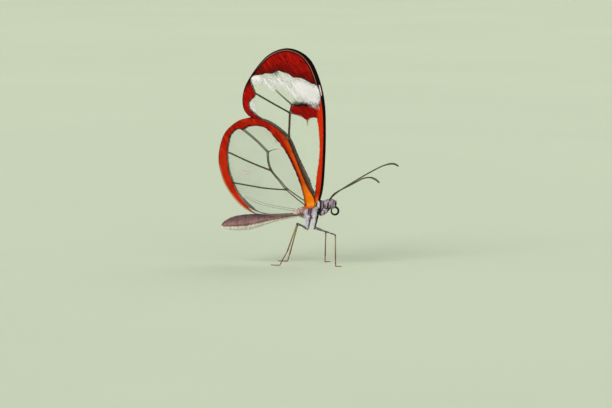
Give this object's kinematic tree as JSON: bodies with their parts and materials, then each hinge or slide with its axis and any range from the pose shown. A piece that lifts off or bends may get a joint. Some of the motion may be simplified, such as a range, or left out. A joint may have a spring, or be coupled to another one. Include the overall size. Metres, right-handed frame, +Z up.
{
  "type": "glasswing butterfly",
  "caption": "Life-size still model of a glasswing butterfly, standing with closed clear wings edged in red and black, clubbed antennae and a coiled tongue.",
  "frame": {"origin": "middle of the base of the whole model, on the plane that the feet stand on", "axes": "+X towards the head, +Y to the butterfly's left, +Z up"},
  "size_m": [0.0318, 0.0148, 0.039],
  "materials": {
    "head": "matte",
    "eye": "gloss",
    "palp": "matte",
    "antenna": "satin",
    "proboscis": "gloss",
    "thorax": "matte",
    "abdomen": "matte",
    "forewing": "satin",
    "hindwing": "satin",
    "foreleg": "matte",
    "leg": "satin"
  },
  "bodies": {
    "root": {"head": "head", "eye_left": "eye", "eye_right": "eye", "palp_left": "palp", "palp_right": "palp", "antenna_left": "antenna", "antenna_right": "antenna", "proboscis": "proboscis", "thorax": "thorax", "abdomen": "abdomen", "forewing_left": "forewing", "forewing_right": "forewing", "hindwing_left": "hindwing", "hindwing_right": "hindwing", "foreleg_left": "foreleg", "foreleg_right": "foreleg", "midleg_left": "leg", "midleg_right": "leg", "hindleg_left": "leg", "hindleg_right": "leg"}
  },
  "joints": []
}
